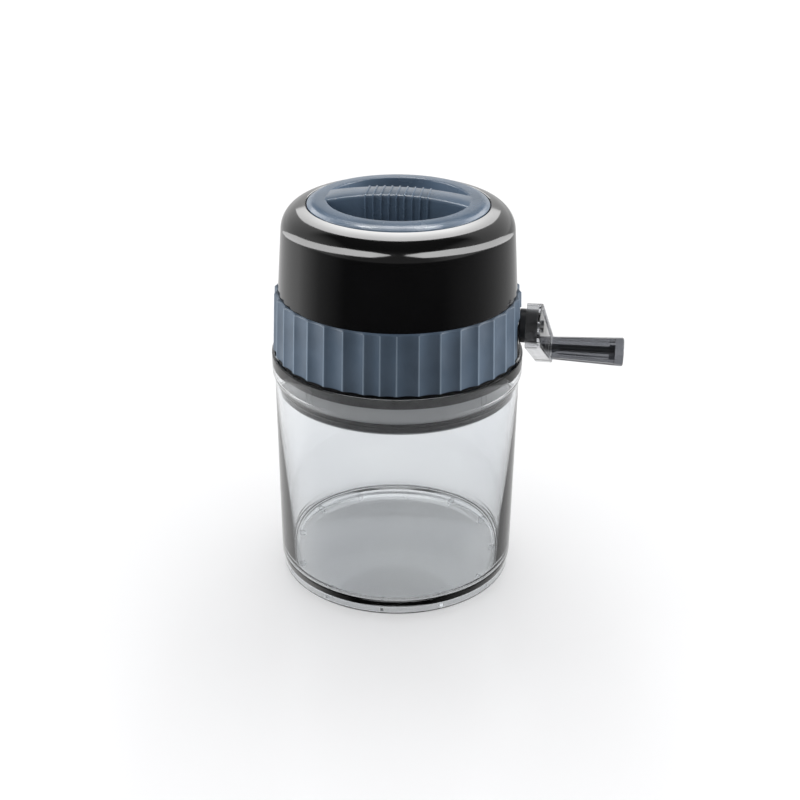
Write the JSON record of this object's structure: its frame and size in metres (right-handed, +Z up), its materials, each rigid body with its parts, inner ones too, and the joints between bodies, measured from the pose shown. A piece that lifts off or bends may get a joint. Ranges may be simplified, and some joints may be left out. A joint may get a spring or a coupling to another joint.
{
  "type": "hand-cranked ice crusher",
  "caption": "Hand-cranked tabletop ice crusher: clear jar, black grinder head with a fluted grip band, lift-off lid and a side crank with a turning handle.",
  "frame": {"origin": "centre of the jar's foot ring, on the surface it stands on", "axes": "+Z up through the jar, head and lid; +X along the crank shaft towards the crank; -Y towards the user"},
  "size_m": [0.195, 0.1386, 0.2225],
  "materials": {
    "jar_clear": "clear polished plastic",
    "housing_gloss": "high-gloss black",
    "housing_satin": "satin black",
    "grip_blue": "soft-touch slate blue",
    "lid_blue": "satin-gloss slate blue",
    "seal_grey": "matt dark grey",
    "smoke_clear": "smoke-tinted clear plastic",
    "steel": "satin stainless",
    "screw_steel": "bright plated",
    "bush_white": "natural acetal"
  },
  "bodies": {
    "jar": {"jar": "jar_clear"},
    "head": {"neck_ring": "smoke_clear", "jar_seal": "seal_grey", "lower_housing": "housing_satin", "upper_housing": "housing_gloss", "grip_band": "grip_blue", "grinder_housing": "housing_satin", "hopper": "housing_satin", "stator_comb_front": "steel", "stator_comb_rear": "steel", "stator_rivets": "screw_steel", "left_bush": "bush_white", "right_bush": "bush_white", "crank_bearing": "bush_white", "housing_screws": "screw_steel", "grinder_screws": "screw_steel"},
    "lid": {"lid": "lid_blue"},
    "crank": {"crank_shaft": "steel", "circlip": "steel", "blade_spacers": "bush_white", "drive_sleeve": "housing_satin", "crank_arm": "smoke_clear", "crank_screw": "screw_steel", "handle_screw": "steel", "rotor_blade_1": "steel", "rotor_blade_2": "steel", "rotor_blade_3": "steel", "rotor_blade_4": "steel", "rotor_blade_5": "steel"},
    "handle": {"handle_grip": "smoke_clear", "handle_cap": "smoke_clear"}
  },
  "joints": [
    {"name": "head_lift", "type": "slide", "parent": "jar", "child": "head", "axis": [0, 0, 1], "range_m": [0, 0.08]},
    {"name": "lid_lift", "type": "slide", "parent": "head", "child": "lid", "axis": [0, 0, 1], "range_m": [0, 0.05]},
    {"name": "crank_turn", "type": "hinge", "parent": "head", "child": "crank", "pos_m": [0, 0, 0.1495], "axis": [1, 0, 0], "continuous": true},
    {"name": "handle_turn", "type": "hinge", "parent": "crank", "child": "handle", "pos_m": [0.09, 0.03834, 0.12061], "axis": [1, 0, 0], "continuous": true}
  ]
}
